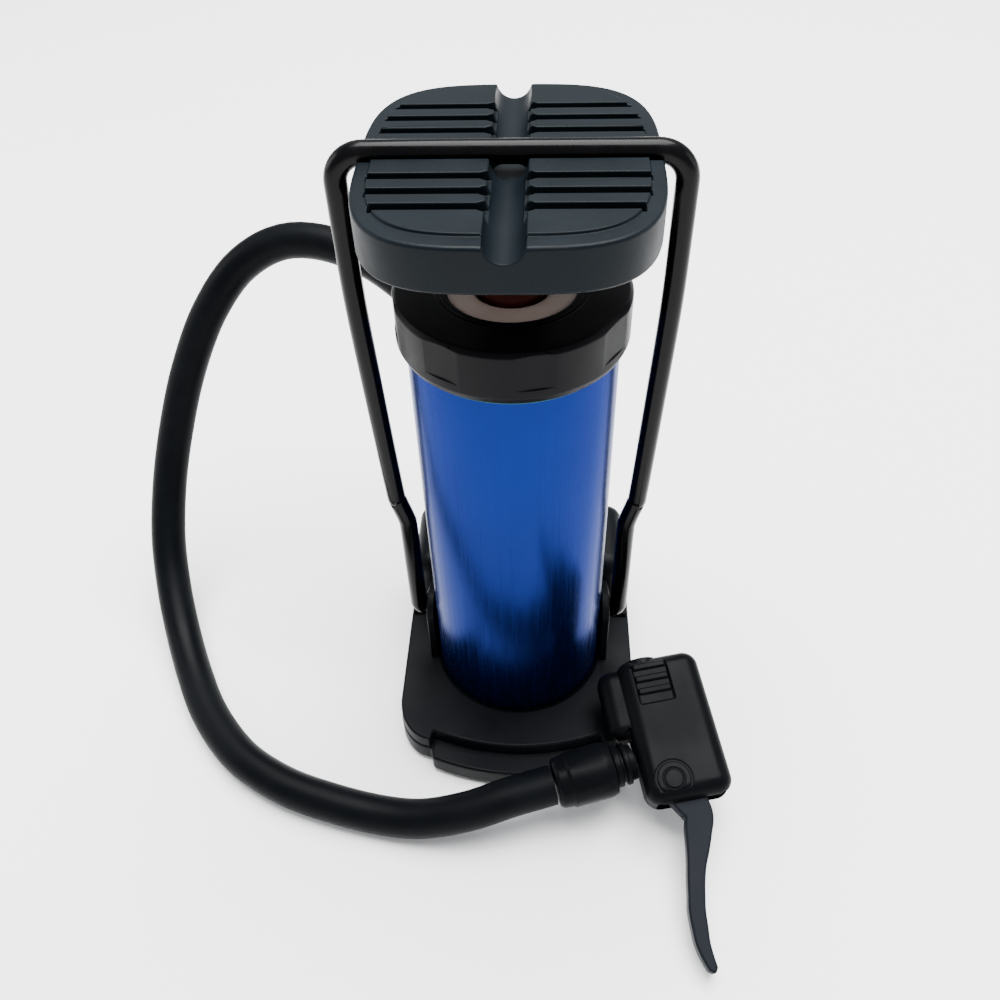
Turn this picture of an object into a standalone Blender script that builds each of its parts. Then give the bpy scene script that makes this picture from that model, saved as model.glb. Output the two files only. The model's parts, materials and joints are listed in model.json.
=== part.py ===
"""Mini foot air pump, stowed: a barrel on a low base, a treadle held down by a wire bail, a hose
and a clamp-on valve head. Metres, +Z up, the floor at z = 0 and the barrel's axis on the Z axis."""

import math

import bmesh
import bpy
from mathutils import Matrix, Vector

MM = 0.001
GAP = 0.3 * MM
FLOOR_GAP = 1.3 * MM

# Base
BASE_HALF_WIDTH = 34.5 * MM
BASE_HALF_LENGTH = 42 * MM
BASE_TOP = 12 * MM
LIP_TOP = 7.5 * MM
POCKET_TOP = 3 * MM
SPIGOT_TOP = 16 * MM
HOUSING_TOP = 34 * MM
AIR_PORT_RADIUS = 2 * MM
CHANNEL_Z = 7 * MM
VALVE_Y = 33.5 * MM
VALVE_RADIUS = 4 * MM
VALVE_SEAT_Z = 14 * MM
SCREW_PLACES = [(27 * MM, 32 * MM), (-27 * MM, 32 * MM), (27 * MM, -24 * MM), (-27 * MM, -24 * MM)]
PAD_PLACES = [(24 * MM, 22 * MM), (-24 * MM, 22 * MM), (16 * MM, -27 * MM), (-16 * MM, -27 * MM)]
PAD_RADIUS = 4.5 * MM
HOUSING_HALF_WIDTH = 32.2 * MM
HOUSING_FRONT = 12 * MM
EAR_INNER = 24.4 * MM
EAR_OUTER = 26.6 * MM
EAR_RADIUS = 5.8 * MM

# Barrel, collar and rod
BARREL_RADIUS = 24 * MM
BARREL_BORE = 22.5 * MM
BARREL_TOP = 128 * MM
COLLAR_RADIUS = 26 * MM
COLLAR_TOP = 140 * MM
COLLAR_HOLE = 14.6 * MM
BUSH_BOTTOM = 122.5 * MM
ROD_RADIUS = 7.7 * MM
PISTON_BOTTOM = 33 * MM
PISTON_TOP = 43 * MM
BUMPER_TOP = 46 * MM

# Treadle
PEDAL_TOP = 169 * MM
PEDAL_BOTTOM = 159 * MM
PEDAL_HALF_WIDTH = 29.5 * MM
PEDAL_HALF_LENGTH = 35 * MM
PEDAL_SQUARENESS = 3.44
GROOVE_RADIUS = 3.8 * MM
RIB_SLOT_Y = [9.8 * MM, 15.7 * MM, 21.5 * MM]
RIB_SLOT_END = [26.6 * MM, 26.1 * MM, 24.6 * MM]
RIB_SLOT_WIDTH = 2.3 * MM
RIB_SLOT_DEPTH = 2.2 * MM
RIM_TOP = 168.4 * MM
PANEL_HALF_WIDTH = 26.5 * MM
PANEL_HALF_LENGTH = 31.2 * MM
PANEL_SQUARENESS = 3.6

# Bail
WIRE_RADIUS = 2.4 * MM
PIVOT_Z = 29.5 * MM
BAIL_TOP_X = 34.6 * MM
BAIL_CORNER = 6.2 * MM
BAIL_MID_X = 31.6 * MM
BAIL_FOOT_X = 29.3 * MM
JOGGLE_TOP_Z = 76 * MM
JOGGLE_FOOT_Z = 66 * MM
BAIL_FOOT_BEND = 2.9 * MM
BAIL_FOOT_END = 24.6 * MM

# Hose and outlet
HOSE_RADIUS = 5.3 * MM
OUTLET_FERRULE_TOP = 52 * MM
HOSE_ROUTE = [
    (0, 33.5, 52.8), (0, 33.6, 61), (-3.2, 36.3, 74), (-13, 44.5, 88.5), (-29, 57, 100),
    (-48, 69, 107), (-68, 75, 108), (-84, 74, 101), (-96, 68, 88), (-105, 60, 71),
    (-111, 51, 54), (-114.5, 41.5, 39), (-115, 30, 26.5), (-112.5, 18, 16.8), (-107.5, 4.5, 10),
    (-100.5, -10, 6.6), (-92, -24, 5.5), (-80, -37, 5.4), (-66, -45.6, 5.4), (-51, -50.8, 5.4),
    (-37, -54.0, 5.4), (-25, -55.7, 7.2), (-12.5, -55.5, 11.6), (-0.9, -52.85, 14.9), (10.3, -49.5, 15.8),
]
HOSE_SPACING = 15 * MM

# Valve head: x across it, y along it, z out of its face; the lever's pivot is its origin
HEAD_PIVOT = Vector((42.04, -48.69, 16.03)) * MM
HEAD_LEAN = math.radians(15)
HEAD_TURN = math.radians(12)
HEAD_HALF_THICK = 6.3 * MM
HEAD_LEFT = -7.8 * MM
HEAD_RIGHT = 15.6 * MM
HEAD_FOOT = -5.5 * MM
HEAD_END = 34.5 * MM
SLOT_HALF = 2.3 * MM
SLOT_END = 9.6 * MM
PIN_RADIUS = 1.9 * MM
LEVER_LINE = [
    (3.2, -4.5, 4.6), (4.7, -9, 3.8), (3.5, -13, 3.5), (2.2, -17, 3.0), (0.8, -20.7, 2.5),
    (-0.4, -24.3, 2.3), (-1.4, -28, 2.2), (-2.3, -31.6, 2.2), (-2.7, -35.3, 2.1), (-3, -38.9, 1.9),
    (-2.7, -42, 1.6), (-2.1, -45, 1.2),
]

# Hose coupling: the same axes, turned to the hose's end
NECK_ORIGIN = Vector((41.6, -47.3, 16.4)) * MM
NECK_TURN = math.radians(17)
NECK_Y = 7 * MM
NECK_START = -7.9 * MM
NECK_END = -13.6 * MM
FERRULE_END = -29.9 * MM

for leftover in list(bpy.data.objects):
    bpy.data.objects.remove(leftover)
parts = bpy.data.collections.new("foot_air_pump")
cutters = bpy.data.collections.new("cutters")
bpy.context.scene.collection.children.link(parts)
bpy.context.scene.collection.children.link(cutters)


# ---------- materials ----------

def paint(name, colour, roughness, metallic=0.0):
    material = bpy.data.materials.new(name)
    material.use_nodes = True
    shader = material.node_tree.nodes["Principled BSDF"]
    shader.inputs["Base Color"].default_value = (*colour, 1)
    shader.inputs["Roughness"].default_value = roughness
    shader.inputs["Metallic"].default_value = metallic
    material.diffuse_color = (*colour, 1)
    return material


PAINTS = {
    "black_plastic": paint("black_plastic", (0.03, 0.036, 0.042), 0.5),
    "pedal_plastic": paint("pedal_plastic", (0.035, 0.055, 0.07), 0.45),
    "blue_aluminium": paint("blue_aluminium", (0.02, 0.07, 0.30), 0.22, 0.9),
    "black_steel": paint("black_steel", (0.012, 0.012, 0.014), 0.25, 0.5),
    "rod_metal": paint("rod_metal", (0.32, 0.13, 0.10), 0.2, 1.0),
    "cream_nylon": paint("cream_nylon", (0.62, 0.52, 0.42), 0.5),
    "bright_steel": paint("bright_steel", (0.5, 0.5, 0.5), 0.3, 1.0),
    "rubber": paint("rubber", (0.015, 0.015, 0.016), 0.75),
    "lever_plastic": paint("lever_plastic", (0.09, 0.10, 0.115), 0.4),
}


# ---------- shape helpers ----------

def add(name, mesh, finish=None, home=None):
    """One named object; without a finish it is a cutter."""
    thing = bpy.data.objects.new(name, mesh)
    if finish:
        parts.objects.link(thing)
        mesh.materials.append(PAINTS[finish])
    else:
        cutters.objects.link(thing)
        thing.hide_render = True
        thing.display_type = "WIRE"
    if home is not None:
        thing.matrix_world = home
    return thing


def applied(thing):
    """The object's evaluated mesh, its caps and seams welded."""
    bpy.context.view_layer.update()
    graph = bpy.context.evaluated_depsgraph_get()
    mesh = bpy.data.meshes.new_from_object(thing.evaluated_get(graph))
    shape = bmesh.new()
    shape.from_mesh(mesh)
    bmesh.ops.remove_doubles(shape, verts=shape.verts, dist=0.00001)
    bmesh.ops.recalc_face_normals(shape, faces=shape.faces)
    shape.to_mesh(mesh)
    shape.free()
    return mesh


def to_mesh(thing, finish=None):
    """Replaces a curve or a modified object with the mesh that it makes."""
    name, place = thing.name, thing.matrix_world.copy()
    mesh = applied(thing)
    bpy.data.objects.remove(thing)
    mesh.materials.clear()
    return add(name, mesh, finish, place)


def smooth(thing, degrees=35):
    thing.data.shade_smooth()
    thing.data.set_sharp_from_angle(angle=math.radians(degrees))
    return thing


def box(name, low, high, finish=None, home=None):
    shape = bmesh.new()
    bmesh.ops.create_cube(shape, size=1)
    size = [b - a for a, b in zip(low, high)]
    middle = [(a + b) / 2 for a, b in zip(low, high)]
    bmesh.ops.scale(shape, vec=size, verts=shape.verts)
    bmesh.ops.translate(shape, vec=middle, verts=shape.verts)
    mesh = bpy.data.meshes.new(name)
    shape.to_mesh(mesh)
    shape.free()
    return add(name, mesh, finish, home)


def rod(name, start, end, radius, finish=None, home=None, sides=32, end_radius=None):
    """A cylinder or cone between two points."""
    start, end = Vector(start), Vector(end)
    run = end - start
    shape = bmesh.new()
    bmesh.ops.create_cone(shape, cap_ends=True, segments=sides, radius1=radius,
                          radius2=radius if end_radius is None else end_radius, depth=run.length)
    turn = run.to_track_quat("Z", "Y").to_matrix().to_4x4()
    bmesh.ops.transform(shape, matrix=Matrix.Translation((start + end) / 2) @ turn, verts=shape.verts)
    mesh = bpy.data.meshes.new(name)
    shape.to_mesh(mesh)
    shape.free()
    return add(name, mesh, finish, home)


def turned(name, profile, finish=None, home=None, steps=48):
    """A profile of (radius, height) turned about Z, going down its outer side."""
    mesh = bpy.data.meshes.new(name)
    shape = bmesh.new()
    corners = [shape.verts.new((r, 0, z)) for r, z in profile]
    for first, second in zip(corners, corners[1:]):
        shape.edges.new((first, second))
    if profile[0][0] > 0:
        shape.edges.new((corners[-1], corners[0]))
    shape.to_mesh(mesh)
    shape.free()
    thing = add(name, mesh, finish, home)
    screw = thing.modifiers.new("Turn", "SCREW")
    screw.axis = "Z"
    screw.steps = screw.render_steps = steps
    screw.use_merge_vertices = True
    screw.merge_threshold = 0.00001
    return thing


def ring(name, inner, outer, low, high, finish=None, home=None, steps=48, chamfer=0.0):
    """A washer or tube, its outer edges chamfered."""
    profile = [(outer - chamfer, high), (outer, high - chamfer), (outer, low + chamfer),
               (outer - chamfer, low), (inner, low), (inner, high)]
    if not chamfer:
        profile = [(outer, high), (outer, low), (inner, low), (inner, high)]
    return turned(name, profile, finish, home, steps)


def slab(name, outline, low, high, finish=None, home=None):
    """A flat outline, given anticlockwise, standing from low to high."""
    curve = bpy.data.curves.new(name, "CURVE")
    curve.dimensions = "2D"
    curve.fill_mode = "BOTH"
    curve.extrude = (high - low) / 2
    spline = curve.splines.new("POLY")
    spline.points.add(len(outline) - 1)
    for point, (x, y) in zip(spline.points, outline):
        point.co = (x, y, 0, 1)
    spline.use_cyclic_u = True
    thing = bpy.data.objects.new(name, curve)
    cutters.objects.link(thing)
    place = Matrix.Translation((0, 0, (low + high) / 2))
    thing.matrix_world = place if home is None else home @ place
    return to_mesh(thing, finish)


def tube(name, points, radius, finish, detail=2, home=None):
    curve = bpy.data.curves.new(name, "CURVE")
    curve.dimensions = "3D"
    curve.bevel_depth = radius
    curve.bevel_resolution = detail
    curve.use_fill_caps = True
    spline = curve.splines.new("POLY")
    spline.points.add(len(points) - 1)
    for point, place in zip(spline.points, points):
        point.co = (*place, 1)
    curve.materials.append(PAINTS[finish])
    thing = bpy.data.objects.new(name, curve)
    parts.objects.link(thing)
    if home is not None:
        thing.matrix_world = home
    return thing


def boolean(target, tool, operation="DIFFERENCE"):
    change = target.modifiers.new(tool.name, "BOOLEAN")
    change.operation = operation
    change.object = tool


def arc(cx, cy, radius_x, radius_y, start, end, count):
    """Points along a stretch of an ellipse, angles in degrees."""
    angles = [math.radians(start + (end - start) * i / count) for i in range(count + 1)]
    return [(cx + radius_x * math.cos(a), cy + radius_y * math.sin(a)) for a in angles]


def smooth_route(places, spacing):
    """Points at an even spacing along one Catmull-Rom curve through the places."""
    places = [Vector(p) * MM for p in places]
    ends = [2 * places[0] - places[1], *places, 2 * places[-1] - places[-2]]
    fine = []
    for a, b, c, d in zip(ends, ends[1:], ends[2:], ends[3:]):
        for i in range(12):
            t = i / 12
            fine.append(0.5 * (2 * b + (c - a) * t + (2 * a - 5 * b + 4 * c - d) * t * t
                               + (3 * b - a - 3 * c + d) * t ** 3))
    fine.append(places[-1])
    lengths = [0.0]
    for a, b in zip(fine, fine[1:]):
        lengths.append(lengths[-1] + (b - a).length)
    count = round(lengths[-1] / spacing)
    picked = []
    for i in range(count + 1):
        want = lengths[-1] * i / count
        k = next((j for j in range(1, len(fine)) if lengths[j] >= want - 1e-12), len(fine) - 1)
        share = (want - lengths[k - 1]) / (lengths[k] - lengths[k - 1])
        picked.append(fine[k - 1].lerp(fine[k], min(share, 1.0)))
    return picked


def coil(radius, low, high, turns, per_turn=12):
    steps = round(turns * per_turn)
    spots = []
    for i in range(steps + 1):
        angle = 2 * math.pi * i / per_turn
        spots.append((radius * math.cos(angle), radius * math.sin(angle), low + (high - low) * i / steps))
    return spots


# ---------- base ----------

def base_outline(inset, nose):
    """Straight sides, round rear corners, swept front corners; nose is the front edge's depth."""
    front_x, front_y = BASE_HALF_WIDTH - 10 * MM, -20 * MM
    rear_x, rear_y = BASE_HALF_WIDTH - 7 * MM, BASE_HALF_LENGTH - 7 * MM
    half = arc(front_x, front_y, 10 * MM - inset, 14 * MM - inset, -60, 0, 6)
    half += arc(rear_x, rear_y, 7 * MM - inset, 7 * MM - inset, 0, 90, 5)
    lip_end = 24 * MM - inset
    lip = [(x, -nose + inset + x * x / (2 * 61 * MM)) for x in [lip_end * i / 5 for i in range(6)]]
    half = lip + half
    return half + [(-x, y) for x, y in reversed(half[1:])]


def make_base():
    base = slab("base_body", base_outline(0, 42 * MM), FLOOR_GAP, LIP_TOP, "black_plastic")
    deck = slab("base_deck", base_outline(0.2 * MM, 36 * MM), LIP_TOP - 2 * MM, BASE_TOP)
    boolean(base, deck, "UNION")
    width = HOUSING_HALF_WIDTH
    housing = box("rear_housing", (-width, HOUSING_FRONT, 4 * MM), (width, 40 * MM, HOUSING_TOP))
    corner = housing.modifiers.new("Round", "BEVEL")
    corner.width = 5 * MM
    corner.segments = 3
    corner.limit_method = "ANGLE"
    boolean(base, housing, "UNION")
    sideways = Matrix(((0, 0, 1, 0), (1, 0, 0, 0), (0, 1, 0, 0), (0, 0, 0, 1)))
    rear, foot = HOUSING_FRONT + 4 * MM, 9 * MM
    outline = [(-EAR_RADIUS, foot), (rear, foot), (rear, 26 * MM)]
    outline += arc(0, PIVOT_Z, EAR_RADIUS, EAR_RADIUS, 60, 180, 8)
    for side in (-1, 1):
        low, high = sorted((side * EAR_INNER, side * EAR_OUTER))
        boolean(base, slab(f"pivot_ear_{side}", outline, low, high, None, sideways), "UNION")
    boolean(base, rod("barrel_clearance", (0, 0, BASE_TOP - 0.2 * MM), (0, 0, 60 * MM),
                      BARREL_RADIUS + GAP, sides=64))
    spigot = turned("spigot", [(0, SPIGOT_TOP), (21.9 * MM, SPIGOT_TOP), (21.9 * MM, 14.8 * MM),
                               (20.4 * MM, 14.8 * MM), (20.4 * MM, 13.2 * MM), (21.9 * MM, 13.2 * MM),
                               (21.9 * MM, 11 * MM), (0, 11 * MM)])
    boolean(base, spigot, "UNION")
    boolean(base, slab("plate_pocket", base_outline(2.5 * MM, 36 * MM), 0, POCKET_TOP))
    boolean(base, rod("inlet_bore", (0, 0, 6.1 * MM), (0, 0, 20 * MM), AIR_PORT_RADIUS, sides=18))
    boolean(base, rod("channel", (0, -1 * MM, CHANNEL_Z), (0, VALVE_Y + 1 * MM, CHANNEL_Z),
                      1.7 * MM, sides=14))
    boolean(base, rod("seat_bore", (0, VALVE_Y, 6.1 * MM), (0, VALVE_Y, 20 * MM),
                      AIR_PORT_RADIUS, sides=18))
    boolean(base, rod("valve_bore", (0, VALVE_Y, VALVE_SEAT_Z), (0, VALVE_Y, 40 * MM), VALVE_RADIUS,
                      sides=24))
    boolean(base, rod("pivot_bore", (-40 * MM, 0, PIVOT_Z), (40 * MM, 0, PIVOT_Z), WIRE_RADIUS + GAP,
                      sides=20))
    for i, (x, y) in enumerate(SCREW_PLACES):
        boolean(base, rod(f"screw_bore_{i}", (x, y, 0), (x, y, 8 * MM), 1.6 * MM, sides=12))
    plate = slab("bottom_plate", base_outline(2.9 * MM, 36 * MM), FLOOR_GAP, POCKET_TOP - GAP,
                 "black_plastic")
    for i, (x, y) in enumerate(SCREW_PLACES):
        boolean(plate, rod(f"plate_bore_{i}", (x, y, 0), (x, y, 5 * MM), 2.8 * MM, sides=16))
        turned(f"base_screw_{i + 1}", [
            (0, 7.5 * MM), (1.3 * MM, 7.5 * MM), (1.3 * MM, 2.7 * MM), (2.4 * MM, 2.7 * MM),
            (2.4 * MM, 1.5 * MM), (0, 1.5 * MM)], "bright_steel", Matrix.Translation((x, y, 0)), 16)
    for i, (x, y) in enumerate(PAD_PLACES):
        rod(f"foot_pad_{i + 1}", (x, y, 0), (x, y, FLOOR_GAP - GAP), PAD_RADIUS, "rubber", sides=24)


# ---------- barrel, collar, valve and outlet ----------

def make_barrel():
    smooth(to_mesh(ring("barrel", BARREL_BORE, BARREL_RADIUS, BASE_TOP + GAP, BARREL_TOP, "blue_aluminium",
                        steps=64), "blue_aluminium"))
    ring("barrel_seal", 20.7 * MM, 22.2 * MM, 13.5 * MM, 14.5 * MM, "rubber", steps=32, chamfer=0.3 * MM)
    lip = 0.8 * MM
    turned("collar", [
        (COLLAR_RADIUS - lip, COLLAR_TOP), (COLLAR_RADIUS, COLLAR_TOP - lip),
        (COLLAR_RADIUS, 129 * MM), (BARREL_RADIUS + GAP + lip, 127.2 * MM),
        (BARREL_RADIUS + GAP, 127.2 * MM), (BARREL_RADIUS + GAP, BARREL_TOP + GAP),
        (COLLAR_HOLE + 2.4 * MM, BARREL_TOP + GAP), (COLLAR_HOLE + 2.4 * MM, 136 * MM),
        (COLLAR_HOLE, 136 * MM), (COLLAR_HOLE, COLLAR_TOP)], "black_plastic", steps=64)
    turned("rod_guide_bush", [
        (COLLAR_HOLE - GAP, 139.4 * MM), (COLLAR_HOLE - GAP, 135.7 * MM),
        (COLLAR_HOLE + 2.1 * MM, 135.7 * MM), (COLLAR_HOLE + 2.1 * MM, BARREL_TOP),
        (BARREL_BORE - GAP, BARREL_TOP - GAP), (BARREL_BORE - GAP, BUSH_BOTTOM),
        (ROD_RADIUS + GAP, BUSH_BOTTOM), (ROD_RADIUS + GAP, 139.4 * MM)], "cream_nylon", steps=48)


def make_outlet():
    ball_z = VALVE_SEAT_Z + math.sqrt(9 - 4) * MM + 0.15 * MM
    shape = bmesh.new()
    bmesh.ops.create_uvsphere(shape, u_segments=20, v_segments=12, radius=3 * MM)
    mesh = bpy.data.meshes.new("check_ball")
    shape.to_mesh(mesh)
    shape.free()
    smooth(add("check_ball", mesh, "bright_steel", Matrix.Translation((0, VALVE_Y, ball_z))))
    tube("check_spring", coil(2.6 * MM, ball_z + 3.7 * MM, 27.2 * MM, 4, 10), 0.35 * MM, "bright_steel", 1,
         Matrix.Translation((0, VALVE_Y, 0)))
    profile = [(2.6 * MM, 50 * MM), (2.6 * MM, 37.6 * MM), (6.2 * MM, 37.6 * MM),
               (6.2 * MM, HOUSING_TOP + GAP), (3.6 * MM, HOUSING_TOP + GAP), (3.6 * MM, 28 * MM),
               (1.5 * MM, 28 * MM), (1.5 * MM, 50 * MM)]
    turned("outlet_nozzle", profile, "bright_steel", Matrix.Translation((0, VALVE_Y, 0)), 24)
    ring("outlet_ferrule", 3 * MM, 7 * MM, 37.9 * MM, OUTLET_FERRULE_TOP, "black_plastic",
         Matrix.Translation((0, VALVE_Y, 0)), 24, 0.8 * MM)


# ---------- piston, rod, spring and treadle ----------

def superellipse(width, length, squareness, count=64):
    spots = []
    for i in range(count):
        a = 2 * math.pi * i / count
        c, s = math.cos(a), math.sin(a)
        spots.append((width * math.copysign(abs(c) ** (2 / squareness), c),
                      length * math.copysign(abs(s) ** (2 / squareness), s)))
    return spots


def make_pedal():
    pedal = slab("pedal", superellipse(PEDAL_HALF_WIDTH, PEDAL_HALF_LENGTH, PEDAL_SQUARENESS),
                 PEDAL_BOTTOM, RIM_TOP, "pedal_plastic")
    edge = pedal.modifiers.new("Edges", "BEVEL")
    edge.width = 0.8 * MM
    edge.segments = 2
    edge.limit_method = "ANGLE"
    edge.angle_limit = math.radians(60)
    boolean(pedal, slab("raised_panel", superellipse(PANEL_HALF_WIDTH, PANEL_HALF_LENGTH, PANEL_SQUARENESS),
                        RIM_TOP - 2 * MM, PEDAL_TOP), "UNION")
    reach = 50 * MM
    boolean(pedal, rod("long_groove", (0, -reach, PEDAL_TOP), (0, reach, PEDAL_TOP), GROOVE_RADIUS, sides=24))
    boolean(pedal, rod("bar_slot", (-reach, 0, PEDAL_TOP), (reach, 0, PEDAL_TOP),
                       WIRE_RADIUS + 0.5 * MM, sides=24))
    for row in (-1, 1):
        for y, end in zip(RIB_SLOT_Y, RIB_SLOT_END):
            low = (-end, row * y - RIB_SLOT_WIDTH / 2, PEDAL_TOP - RIB_SLOT_DEPTH)
            high = (end, row * y + RIB_SLOT_WIDTH / 2, PEDAL_TOP + 1 * MM)
            boolean(pedal, box(f"rib_slot_{row}_{y / MM:.0f}", low, high))
    boolean(pedal, rod("rod_socket", (0, 0, PEDAL_BOTTOM - 2 * MM), (0, 0, 161.6 * MM),
                       ROD_RADIUS + GAP, sides=32))
    boolean(pedal, rod("screw_seat", (0, 0, 163.4 * MM), (0, 0, PEDAL_TOP), 4.4 * MM, sides=24))
    boolean(pedal, rod("screw_hole", (0, 0, PEDAL_BOTTOM), (0, 0, PEDAL_TOP), 2.5 * MM, sides=16))
    turned("pedal_screw", [(0, 165 * MM), (3.4 * MM, 165 * MM), (4 * MM, 164.4 * MM), (4 * MM, 163.7 * MM),
                           (2.2 * MM, 163.7 * MM), (2.2 * MM, 152 * MM), (0, 152 * MM)],
           "bright_steel", steps=24)


def make_piston():
    shaft = rod("piston_rod", (0, 0, PISTON_TOP + GAP), (0, 0, 161.3 * MM), ROD_RADIUS, "rod_metal", sides=48)
    boolean(shaft, rod("rod_stud", (0, 0, 27 * MM), (0, 0, 60 * MM), 4 * MM, sides=24), "UNION")
    boolean(shaft, rod("rod_tapping", (0, 0, 150 * MM), (0, 0, 170 * MM), 2.5 * MM, sides=16))
    smooth(shaft)
    wall = BARREL_BORE - GAP
    turned("piston", [
        (wall, PISTON_TOP), (wall, 40.4 * MM), (19.2 * MM, 40.4 * MM), (19.2 * MM, 35.6 * MM),
        (wall, 35.6 * MM), (wall, PISTON_BOTTOM), (4.3 * MM, PISTON_BOTTOM), (4.3 * MM, PISTON_TOP)],
        "cream_nylon", steps=48)
    turned("piston_seal", [
        (wall, 40.1 * MM), (wall, 39 * MM), (21 * MM, 36.9 * MM), (20.2 * MM, 35.9 * MM),
        (19.5 * MM, 35.9 * MM), (19.5 * MM, 40.1 * MM)], "rubber", steps=48)
    ring("piston_washer", 4.3 * MM, 9 * MM, 31.2 * MM, PISTON_BOTTOM - GAP, "bright_steel", steps=24)
    nut = rod("piston_nut", (0, 0, 27.4 * MM), (0, 0, 30.9 * MM), 7 * MM, "bright_steel", sides=6)
    boolean(nut, rod("nut_thread", (0, 0, 20 * MM), (0, 0, 35 * MM), 4.3 * MM, sides=24))
    ring("rod_bumper", ROD_RADIUS + GAP, 14 * MM, PISTON_TOP + GAP, BUMPER_TOP, "rubber", steps=32,
         chamfer=0.6 * MM)
    tube("return_spring", coil(17 * MM, 17.6 * MM, 31.5 * MM, 4.5, 16), 1 * MM, "bright_steel", 2)


# ---------- bail ----------

def bail_half():
    """The wire's centre line from the middle of its bar down to its foot, on the +X side."""
    line = [(0, PEDAL_TOP)]
    line += arc(BAIL_TOP_X - BAIL_CORNER, PEDAL_TOP - BAIL_CORNER, BAIL_CORNER, BAIL_CORNER, 90, 0, 6)
    line += [(BAIL_TOP_X - 0.2 * MM, 135 * MM), (BAIL_TOP_X - 1.4 * MM, 108 * MM)]
    line += [(BAIL_MID_X, JOGGLE_TOP_Z), (BAIL_MID_X - 0.5 * MM, JOGGLE_TOP_Z - 3 * MM)]
    line += [(BAIL_FOOT_X + 0.5 * MM, JOGGLE_FOOT_Z + 2 * MM), (BAIL_FOOT_X, JOGGLE_FOOT_Z - 1 * MM)]
    bend = BAIL_FOOT_BEND
    line += arc(BAIL_FOOT_X - bend, PIVOT_Z + bend, bend, bend, 0, -90, 4)
    line.append((BAIL_FOOT_END, PIVOT_Z))
    return line


def make_bail():
    half = bail_half()
    line = [(-x, 0, z) for x, z in reversed(half[1:])] + [(x, 0, z) for x, z in half]
    pivot = Matrix.Translation((0, 0, PIVOT_Z))
    tube("bail", [(x, y, z - PIVOT_Z) for x, y, z in line], WIRE_RADIUS, "black_steel", 3, pivot)


# ---------- hose and valve head ----------

def leaning_frame(origin, turn):
    """Axes that lean back from the floor by HEAD_LEAN and are then turned in their own plane."""
    back = Vector((0, math.cos(HEAD_LEAN), math.sin(HEAD_LEAN)))
    out = Vector((0, -math.sin(HEAD_LEAN), math.cos(HEAD_LEAN)))
    across = Vector((1, 0, 0)) * math.cos(turn) + back * math.sin(turn)
    along = back * math.cos(turn) - Vector((1, 0, 0)) * math.sin(turn)
    return Matrix.Translation(origin) @ Matrix((across, along, out)).transposed().to_4x4()


def lever_outline():
    """A round cam, then an S-shaped thumb lever that tapers to its tip."""
    swept = smooth_route(LEVER_LINE, 4 * MM)
    left, right = [], []
    for i, spot in enumerate(swept):
        before, after = swept[max(i - 1, 0)], swept[min(i + 1, len(swept) - 1)]
        run = Vector((after.x - before.x, after.y - before.y)).normalized()
        left.append((spot.x + run.y * spot.z, spot.y - run.x * spot.z))
        right.append((spot.x - run.y * spot.z, spot.y + run.x * spot.z))
    tip_x, tip_y = swept[-1].x, swept[-1].y
    cam = arc(0, 0, 4.4 * MM, 4.4 * MM, 0, 200, 14)
    return cam + left + [(tip_x + 0.2 * MM, tip_y - 1.2 * MM)] + right[::-1]


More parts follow.
